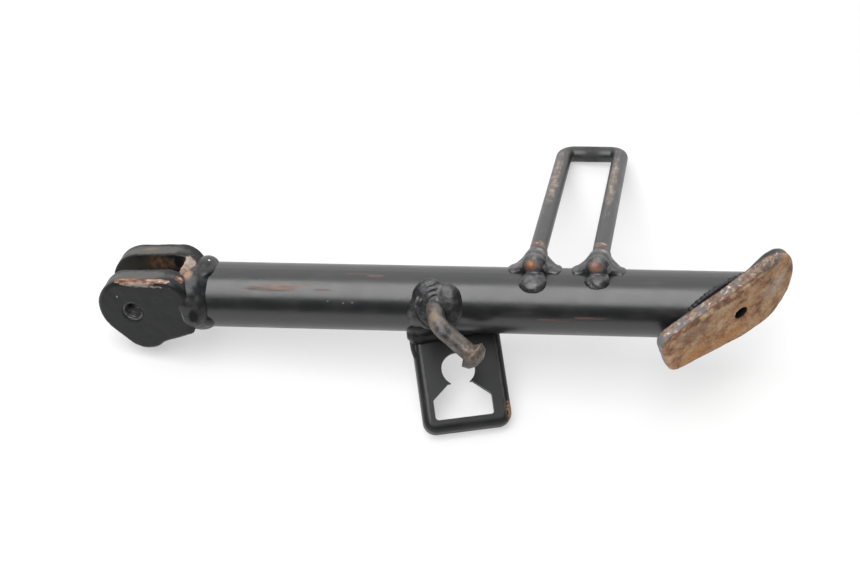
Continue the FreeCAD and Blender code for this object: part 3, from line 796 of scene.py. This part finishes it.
def weld_paint(name, placement, spots=(), shade_spots=(), bloomed=0.4, chips=0.0):
    """Black paint over weld metal, dusty on its bulges, with rusty spots and with painted shade:
    black laid in its hollows.
    """
    finish = black_paint(name, placement, dull=0.06)
    bloom = finish.noise(3.4, detail=4.0, seed=31.0)
    finish.layer(finish.fade(bloom, 0.45, 0.70) * bloomed, (0.10, 0.10, 0.108), roughness=0.45)
    for centre, radii, seed, colour in spots:
        spot = finish.patch(centre, radii, ragged=0.9, grain=1.2, soft=0.5, seed=seed)
        finish.layer(spot * 0.95, colour, roughness=0.55)
    # Painted shade: black laid in the weld's shadowed hollows.
    for centre, radii, seed in shade_spots:
        shade_mask = finish.patch(centre, radii, ragged=0.7, grain=1.0, soft=0.4, seed=seed)
        finish.layer(shade_mask, PAINTED_SHADE_BLACK, roughness=0.9)
    if chips:
        bits = finish.noise(0.9, detail=3.0, seed=41.0)
        finish.layer(finish.fade(bits, 0.68, 0.73) * chips, (0.62, 0.56, 0.50),
                     roughness=0.4, metallic=0.4)
    finish.raise_by(finish.noise(1.4, detail=3.0, seed=37.0) * 0.05)
    return finish


def ring_ripples(finish, centre, inner, outer, pitch, end):
    """Ripples round a centre, between two radii and no further along the leg than its end."""
    height, soft = 0.09, 1.5
    reach = finish.distance(finish.place, tuple(centre))
    wobble = finish.noise(3.0, seed=43.0) * 1.2
    wave = finish.add("ShaderNodeMath", {"operation": "SINE"},
                      {0: (reach + wobble) * (math.tau / pitch)})
    ring = finish.fade(reach, inner, inner + 1) * finish.fade(reach, outer, outer - 1)
    ring = ring * finish.fade(finish.axis("X"), end + soft, end)
    finish.raise_by(wave * ring * height)


# ---- One operator for each piece or group ----

class SIDESTAND_OT_leg_tube(bpy.types.Operator):
    """Paint the leg tube, with its rusty rub"""
    bl_idname = "side_stand.leg_tube"
    bl_label = "Leg tube"

    def execute(self, context):
        paint_node("leg_tube", tube_finish())
        return {"FINISHED"}


class SIDESTAND_OT_pivot_fork(bpy.types.Operator):
    """Forge and paint the pivot fork, and cut the thread in its near cheek"""
    bl_idname = "side_stand.pivot_fork"
    bl_label = "Pivot fork"

    def execute(self, context):
        fork = worked_copy("pivot_fork", "forged_fork", grain=0.4, ease=10)
        roughen(fork, size=8.0, strength=0.5)
        dress(fork, fork_finish(), "black_paint", "pivot_fork")
        dress(self.add_thread(), thread_finish(), "black_paint")
        return {"FINISHED"}

    def add_thread(self):
        """A helical ridge inside the threaded hole."""
        ridge, sides, steps = 0.5, 8, 40
        bite, recess = 0.1, 0.3
        quarter = math.radians(90)
        deselect()
        bpy.ops.mesh.primitive_circle_add(
            vertices=sides, radius=ridge * MM, fill_type="NOTHING")
        thread = bpy.context.object
        thread.name = "bore_thread"
        edit(thread)
        for axis in "XY":
            bpy.ops.transform.rotate(
                value=quarter, orient_axis=axis, center_override=(0, 0, 0))
        bpy.ops.transform.translate(value=((THREAD_RADIUS - bite) * MM, 0, 0))
        bpy.ops.object.mode_set(mode="OBJECT")
        turns = int(THREAD_LENGTH / THREAD_PITCH)
        apply_modifier(
            thread, "SCREW", axis="Z", screw_offset=THREAD_PITCH * MM, iterations=turns,
            steps=steps, render_steps=steps, use_merge_vertices=False)
        edit(thread)
        bpy.ops.mesh.fill_holes(sides=sides)
        bpy.ops.mesh.select_all(action="SELECT")
        bpy.ops.mesh.normals_make_consistent(inside=False)
        bpy.ops.object.mode_set(mode="OBJECT")
        thread.matrix_world = FORK @ shift(0, THREAD_FACE + recess, 0) @ turn(-90, "X")
        activate(thread)
        bpy.ops.object.transform_apply(location=True, rotation=True, scale=True)
        return thread


class SIDESTAND_OT_foot_plate(bpy.types.Operator):
    """Rust the foot plate and roughen its edges"""
    bl_idname = "side_stand.foot_plate"
    bl_label = "Foot plate"

    def execute(self, context):
        plate = worked_copy("foot_plate", "worn_foot_plate", grain=0.36, ease=8)
        roughen(plate, size=9.0, strength=0.5)
        roughen(plate, size=2.4, strength=0.22)
        dress(plate, foot_finish(), "rusted_steel", "foot_plate")
        return {"FINISHED"}


class SIDESTAND_OT_foot_loop(bpy.types.Operator):
    """Paint the foot loop, worn along its legs"""
    bl_idname = "side_stand.foot_loop"
    bl_label = "Foot loop"

    def execute(self, context):
        paint_node("foot_loop", loop_finish())
        return {"FINISHED"}


class SIDESTAND_OT_stop_bracket(bpy.types.Operator):
    """Paint the stop bracket"""
    bl_idname = "side_stand.stop_bracket"
    bl_label = "Stop bracket"

    def execute(self, context):
        paint_node("stop_bracket", bracket_finish())
        return {"FINISHED"}


class SIDESTAND_OT_spring_hook(bpy.types.Operator):
    """Give the spring hook its worn steel and rounded head"""
    bl_idname = "side_stand.spring_hook"
    bl_label = "Spring hook"

    def execute(self, context):
        hook = worked_copy("spring_hook", "worn_spring_hook", grain=0.2, ease=4)
        roughen(hook, size=4.0, strength=0.25)
        dress(hook, hook_finish(), "worn_steel", "spring_hook")
        return {"FINISHED"}


class SIDESTAND_OT_fork_weld(bpy.types.Operator):
    """Run the ring of weld round the fork's joint with the tube"""
    bl_idname = "side_stand.fork_weld"
    bl_label = "Fork weld"

    def execute(self, context):
        puddles = self.add_ring() + self.add_lumps()
        ring = lay_bead("fork_weld_bead", puddles, ease=40, size=5.0, strength=0.2)
        # Spots: centre, radii, seed, colour.
        spots = (
            ((28.2, 2.4, 14.6), (0.6, 0.6, 0.9), 4.0, (0.8, 0.8, 0.8)),
            (on_leg(19.4, 94, 1.0), (0.7, 4.6, 5.0), 5.0, (0.12, 0.12, 0.125)),
            (on_leg(21.6, 24, 2.5), (2.6, 3.4, 2.6), 9.0, (0.30, 0.19, 0.13)),
        )
        # Painted shade: a black patch on the collar's shadowed side.
        shade_spots = [(on_leg(24.0, 88, 1.5), (3.2, 4.6, 4.6), 6.0)]
        finish = weld_paint("fork_weld_paint", LEG, spots, shade_spots, bloomed=0.25)
        dress(ring, finish.done(specular=0.4), "painted_weld", "weld_fork")
        return {"FINISHED"}

    def add_ring(self):
        """An even ring, which leans towards the foot and narrows where it passes the top."""
        chance = random.Random(4)
        count, top = 48, -8
        middle, advance, rise = 23.9, 2.0, -2.3
        length, shorter, width, depth = 5.9, 1.7, 3.2, 3.7
        puddles = []
        for number in range(count):
            degrees = 360 * number / count
            crest = (0.5 + 0.5 * math.cos(math.radians(degrees - top))) ** 3
            position = middle + advance * crest + chance.uniform(-0.12, 0.12)
            puddles.append(leg_puddle(
                position, degrees, (length - shorter * crest, width, depth),
                rise + chance.uniform(-0.04, 0.04)))
        return puddles

    def add_lumps(self):
        """The thick collar on the hook's side, which droops at its lower end."""
        # Where along the leg, the angle round it, the rise and the radii.
        return [leg_puddle(position, degrees, radii, rise) for position, degrees, rise, radii in (
            (21.8, 33, 0.0, (4.8, 5.0, 3.0)),
            (21.8, 50, 0.4, (4.8, 5.0, 3.0)),
            (21.4, 66, 0.4, (4.8, 5.0, 3.0)),
            (22.2, 84, 0.0, (4.5, 5.0, 2.8)),
            (22.8, 99, 0.0, (4.8, 5.0, 2.8)),
            (24.6, 22, -0.9, (4.4, 6.0, 2.8)),
            (23.1, 40, -0.3, (4.6, 7.0, 3.0)),
            (23.1, 58, -0.3, (4.6, 7.0, 3.0)),
            (24.3, 78, -0.4, (4.8, 7.0, 3.0)),
            (26.4, -19, -0.4, (4.2, 6.2, 2.9)),
            (27.6, -10, -1.0, (4.0, 7.4, 2.2)),
            (23.4, 96, -0.8, (4.8, 7.4, 2.7)),
            (28.0, 113, -0.6, (2.8, 3.8, 1.9)),
        )]


class SIDESTAND_OT_loop_welds(bpy.types.Operator):
    """Run the flared welds at the loop's two feet"""
    bl_idname = "side_stand.loop_welds"
    bl_label = "Loop welds"

    def execute(self, context):
        orange = (0.55, 0.20, 0.06)
        pink = (0.30, 0.17, 0.17)
        self.add_weld("left", -1, orange, bead=(5.4, 4.4, 2.0), degrees=20)
        self.add_weld("right", 1, pink, bead=(4.8, 3.2, 1.5), degrees=16)
        return {"FINISHED"}

    def add_weld(self, name, side, tint, bead, degrees):
        """One flared weld: a nose over the bar's end, two flanks, ribs, and a bead in front."""
        foot = side * LOOP_SPACING / 2
        middle = LOOP_POSITION + foot
        puddles = self.add_nose(foot) + self.add_flanks(foot)
        # Ribs: how far across the loop and out along it, and the lean.
        for across, reach, lean in ((2.6, 0.6, 0.9), (3.8, 3.2, 1.0), (-3.2, 0.0, -0.9)):
            puddles.append(add_puddle(
                LOOP, Vector((foot + across, reach, -1.9)), Vector((lean, 0, 1)), (4.6, 0.9, 1.3)))
        puddles.append(leg_puddle(middle - 0.3, degrees, bead))
        puddles.append(leg_puddle(middle + 0.2, degrees=11, radii=(4.2, 4.2, 2.2)))
        metal = lay_bead(f"loop_weld_bead_{name}", puddles, ease=16, size=2.6, strength=0.4)
        # Spots: centre, radii, seed, colour.
        spots = (
            (on_leg(middle - 0.4, -4, 4.6), (6.0, 6.4, 4.6), 3.5 + side, (0.10, 0.10, 0.102)),
            (on_leg(middle - 1.0, 5, 5.0), (3.8, 4.0, 3.6), 4.0 + side, (0.20, 0.085, 0.045)),
            (on_leg(middle - 1.4, 5, 5.8), (2.0, 2.6, 2.2), 5.0 + side, tint),
            # Painted highlight: this pale spot on the hood.
            (on_leg(middle + 1.6, -24, 7.0), (2.2, 1.6, 2.4), 7.0 + side, (0.26, 0.20, 0.17)),
            (on_leg(middle + 4.2, 2, 3.0), (1.3, 3.0, 2.6), 7.5 + side, (0.26, 0.25, 0.25)),
            (on_leg(middle + 3.2, 7, 0.8), (0.6, 0.5, 0.8), 8.0 + side, (0.75, 0.5, 0.2)),
            (on_leg(middle + 6.2, 9, 0.8), (0.7, 0.5, 0.8), 8.5 + side, (0.75, 0.5, 0.2)),
        )
        # Painted shade: a black patch in the hollow under the nose.
        shade_spots = [(on_leg(middle - 5.4, 11, 0.4), (4.2, 1.2, 1.3), 9.0 + side)]
        finish = weld_paint(f"loop_weld_paint_{name}", LEG, spots, shade_spots, bloomed=0.75, chips=0.3)
        dress(metal, finish.done(specular=0.8), "painted_weld", f"weld_loop_{name}")

    def add_nose(self, foot):
        """The lump over the bar's end, with a skirt that spreads over the leg."""
        # How far across the loop, out along it and above it, and the radii.
        return [
            add_puddle(LOOP, Vector((foot + across, reach, height)), Z_AXIS, radii)
            for across, reach, height, radii in (
                (-0.9, 3.2, -4.4, (10.4, 6.2, 1.6)),
                (-0.8, 2.4, -3.5, (7.8, 6.0, 2.0)),
                (-0.6, 2.0, -2.4, (5.9, 5.8, 2.6)),
                (-0.4, 1.6, -1.0, (4.6, 5.8, 3.4)),
                (-0.1, -2.1, -0.1, (4.7, 3.0, 4.5)),
                (-0.1, 1.8, 0.0, (4.6, 4.2, 4.2)),
                (0.0, 4.4, -0.1, (4.4, 4.2, 4.0)),
                (-0.2, -0.8, -2.4, (6.4, 3.0, 2.2)),
                (0.2, 8.2, -0.5, (3.8, 4.4, 3.8)),
            )]

    def add_flanks(self, foot):
        """Two flanks that fall from the bar to the leg like the sides of a tent."""
        steps, start, spread_to, steepness = 9, 1.4, 6.8, 1.6
        puddles = []
        for step in range(steps):
            spread = step / (steps - 1)
            fall = 1 - (1 - spread) ** steepness
            for lean in (-1, 1):
                across = foot - 0.2 + lean * (start + spread_to * spread)
                for reach, height, radii in (
                    (7.6 - 5.4 * fall, -0.6 - 3.2 * fall, (2.2, 3.6 - spread, 3.0 - 1.7 * fall)),
                    (1.2, -0.8 - 2.9 * fall, (2.2, 3.9, 3.0 - 1.6 * fall)),
                ):
                    place = Vector((across, reach, height))
                    puddles.append(add_puddle(LOOP, place, Z_AXIS, radii))
        return puddles


class SIDESTAND_OT_hook_weld(bpy.types.Operator):
    """Run the rippled weld round the hook's root, and its round end"""
    bl_idname = "side_stand.hook_weld"
    bl_label = "Hook weld"

    def execute(self, context):
        ripple = context.scene.side_stand_weld.ripple
        puddles = [leg_puddle(115.8, 62, (7.6, 10.0, 2.9), rise=-1.2)]
        # The bead's route round the hook: where along the leg, and the angle round it.
        route = [(111.4, 94), (110.8, 80), (111.6, 66), (113.4, 54), (116.0, 46), (119.0, 44)]
        for (position, degrees), (after, turned) in zip(route, route[1:]):
            travel = on_leg(after, turned) - on_leg(position, degrees)
            lean = off_leg(degrees) - travel.normalized() * ripple
            puddles.append(add_puddle(
                LEG, on_leg(position, degrees, -0.5), lean, (4.4, 4.0, 1.9), along=travel))
        puddles.append(leg_puddle(119.6, 60, (5.0, 8.0, 2.5), rise=-0.8))
        puddles.append(leg_puddle(122.3, 64, (6.3, 8.6, 3.2), rise=-1.2))
        bead = lay_bead("hook_weld_bead", puddles, ease=10, size=3.0, strength=0.3)
        rim = [(on_leg(118.8, 56, 1.4), (0.7, 3.0, 3.0), 3.0, (0.16, 0.16, 0.165))]
        finish = weld_paint("hook_weld_paint", LEG, rim, chips=0.2)
        ring_ripples(finish, on_leg(119.5, 66, 1), inner=4.0, outer=10.5, pitch=1.9, end=118.0)
        dress(bead, finish.done(specular=0.6), "painted_weld", "weld_hook")
        return {"FINISHED"}


class SIDESTAND_OT_bracket_weld(bpy.types.Operator):
    """Run the lumpy seam between the bracket and the leg"""
    bl_idname = "side_stand.bracket_weld"
    bl_label = "Bracket weld"

    def execute(self, context):
        puddles = [copy_node("weld_bracket", "bracket_seam")]
        for position, degrees, radii in (
            (109.0, 128, (3.6, 4.4, 1.6)),
            (112.5, 122, (5.0, 4.0, 2.2)),
            (118.0, 121, (5.0, 3.6, 1.9)),
        ):
            puddles.append(leg_puddle(position, degrees, radii, rise=-0.3))
        puddles.append(add_puddle(BRACKET, Vector((1.0, 36, 3.6)), Z_AXIS, (2.0, 8.0, 3.4)))
        bead = lay_bead("bracket_weld_bead", puddles, ease=20, size=3.0, strength=0.3)
        finish = weld_paint("bracket_weld_paint", BRACKET, bloomed=0.1)
        dress(bead, finish.done(specular=0.2), "painted_weld", "weld_bracket")
        return {"FINISHED"}


class SIDESTAND_OT_foot_weld(bpy.types.Operator):
    """Run the thin weld where the tube stands on the foot plate"""
    bl_idname = "side_stand.foot_weld"
    bl_label = "Foot weld"

    def execute(self, context):
        chance = random.Random(2)
        facing = SOLE_FACING.normalized()
        count, rise, clear = 60, 0.1, 0.2
        thick, longer = 1.05, 1.4
        puddles = []
        for number in range(count):
            degrees = 360 * number / count
            side = on_leg(0, degrees, rise)
            position = FOOT_DISTANCE - (side.dot(facing) + FOOT_THICKNESS + clear) / facing.x
            radius = thick + chance.uniform(-0.15, 0.2)
            puddles.append(leg_puddle(position, degrees, (radius * longer, radius, radius), rise))
        bead = lay_bead("foot_weld_bead", puddles, ease=20, size=4.0, strength=0.3)
        finish = weld_paint("foot_weld_paint", LEG, bloomed=0.15)
        dress(bead, finish.done(specular=0.3), "painted_weld", "weld_foot")
        return {"FINISHED"}


class SIDESTAND_OT_stage(bpy.types.Operator):
    """Set the pale floor, the soft light and the camera"""
    bl_idname = "side_stand.stage"
    bl_label = "Stage"

    def execute(self, context):
        stage = context.scene.side_stand_stage
        self.add_floor()
        self.add_world(context.scene)
        self.add_lamp(stage)
        self.add_camera(context.scene, stage)
        context.scene.view_settings.view_transform = "Standard"
        return {"FINISHED"}

    def add_floor(self):
        """A pale floor under the stand's lowest point; to the camera it also glows a little."""
        size, across, back = 8, 0.11, 3.78
        pale, glowing = 0.84, 0.45
        deselect()
        bpy.ops.mesh.primitive_plane_add(size=size, location=(across, back, CAD_BOX[0].z))
        floor = bpy.context.object
        floor.name = "floor"
        material = bpy.data.materials.new("pale_floor")
        material.use_nodes = True
        nodes = Nodes(material.node_tree)
        seen, glossy, through = (
            nodes.add("ShaderNodeLightPath", output=f"Is {ray} Ray")
            for ray in ("Camera", "Glossy", "Transmission"))
        shown = seen.over(glossy).over(through)
        board = nodes.add("ShaderNodeBsdfPrincipled", None, {
            "Base Color": (pale, pale, pale, 1), "Roughness": 0.8, "Specular IOR Level": 0.2})
        glow = nodes.add("ShaderNodeEmission", None, {"Color": WHITE, "Strength": 1.0})
        surface = nodes.add("ShaderNodeMixShader", None, {0: shown * glowing, 1: board, 2: glow})
        nodes.add("ShaderNodeOutputMaterial", None, {"Surface": surface})
        floor.data.materials.append(material)

    def add_world(self, scene):
        """A plain room: white to the camera, brighter behind the stand than before it."""
        narrowing, soft, bright, dark = 0.6, 0.25, 1.35, 0.07
        world = bpy.data.worlds.new("studio")
        world.use_nodes = True
        scene.world = world
        nodes = Nodes(world.node_tree)
        direction = nodes.add("ShaderNodeTexCoord", output="Generated")
        depth = nodes.add("ShaderNodeSeparateXYZ", None, {0: direction}, output="Y")
        side = nodes.add("ShaderNodeSeparateXYZ", None, {0: direction}, output="X")
        side = nodes.add("ShaderNodeMath", {"operation": "ABSOLUTE"}, {0: side})
        room = nodes.fade(depth - side * narrowing, -soft, soft) * bright + dark
        seen = nodes.add("ShaderNodeLightPath", output="Is Camera Ray")
        light = nodes.add("ShaderNodeBackground", None, {"Color": WHITE, "Strength": room})
        plain = nodes.add("ShaderNodeBackground", None, {"Color": WHITE, "Strength": 1.0})
        shown = nodes.add("ShaderNodeMixShader", None, {0: seen, 1: light, 2: plain})
        nodes.add("ShaderNodeOutputWorld", None, {"Surface": shown})

    def add_lamp(self, stage):
        """One large softbox overhead."""
        data = bpy.data.lights.new("softbox", "AREA")
        data.shape = "RECTANGLE"
        data.size = 1.1
        data.size_y = 1.5
        data.energy = stage.lamp
        lamp = bpy.data.objects.new("softbox", data)
        lamp.location = (-0.2, -0.5, 1.2)
        bpy.context.scene.collection.objects.link(lamp)

    def add_camera(self, scene, stage):
        """The camera, looking down at the stand."""
        data = bpy.data.cameras.new("camera")
        data.lens = stage.lens
        data.sensor_width = 36
        camera = bpy.data.objects.new("camera", data)
        level = math.cos(stage.elevation)
        back = Vector((math.sin(stage.azimuth) * level, -math.cos(stage.azimuth) * level,
                       math.sin(stage.elevation)))
        camera.location = Vector(stage.aim) + back * stage.distance
        camera.rotation_euler = (-back).to_track_quat("-Z", "Y").to_euler()
        scene.collection.objects.link(camera)
        scene.camera = camera


class SIDESTAND_PT_panel(bpy.types.Panel):
    """Settings and steps of the side stand"""
    bl_label = "Side Stand"
    bl_idname = "SIDESTAND_PT_panel"
    bl_space_type = "VIEW_3D"
    bl_region_type = "UI"
    bl_category = "Side Stand"

    def draw(self, context):
        layout = self.layout
        for title, name in GROUPS:
            box = layout.box()
            box.label(text=title)
            group = getattr(context.scene, name)
            for setting in group.bl_rna.properties:
                if setting.identifier not in {"rna_type", "name"}:
                    box.prop(group, setting.identifier)
        for step in STEPS:
            layout.operator(step.bl_idname)


GROUPS = (
    ("Paint", "side_stand_paint"),
    ("Rust", "side_stand_rust"),
    ("Welds", "side_stand_weld"),
    ("Stage", "side_stand_stage"),
)
SETTINGS = (PaintSettings, RustSettings, WeldSettings, StageSettings)
STEPS = (
    SIDESTAND_OT_leg_tube,
    SIDESTAND_OT_pivot_fork,
    SIDESTAND_OT_foot_plate,
    SIDESTAND_OT_foot_loop,
    SIDESTAND_OT_stop_bracket,
    SIDESTAND_OT_spring_hook,
    SIDESTAND_OT_fork_weld,
    SIDESTAND_OT_loop_welds,
    SIDESTAND_OT_hook_weld,
    SIDESTAND_OT_bracket_weld,
    SIDESTAND_OT_foot_weld,
    SIDESTAND_OT_stage,
)


def register():
    """Registers the settings, the operators and the panel."""
    for item in (*SETTINGS, *STEPS, SIDESTAND_PT_panel):
        bpy.utils.register_class(item)
    for (title, name), kind in zip(GROUPS, SETTINGS):
        setattr(bpy.types.Scene, name, bpy.props.PointerProperty(type=kind, name=title))


def unregister():
    """Removes what register added."""
    for _, name in GROUPS:
        delattr(bpy.types.Scene, name)
    for item in reversed((*SETTINGS, *STEPS, SIDESTAND_PT_panel)):
        bpy.utils.unregister_class(item)


def main():
    """Builds the looks step by step."""
    register()
    for step in STEPS:
        family, name = step.bl_idname.split(".")
        getattr(getattr(bpy.ops, family), name)()


if __name__ == "__main__":
    main()
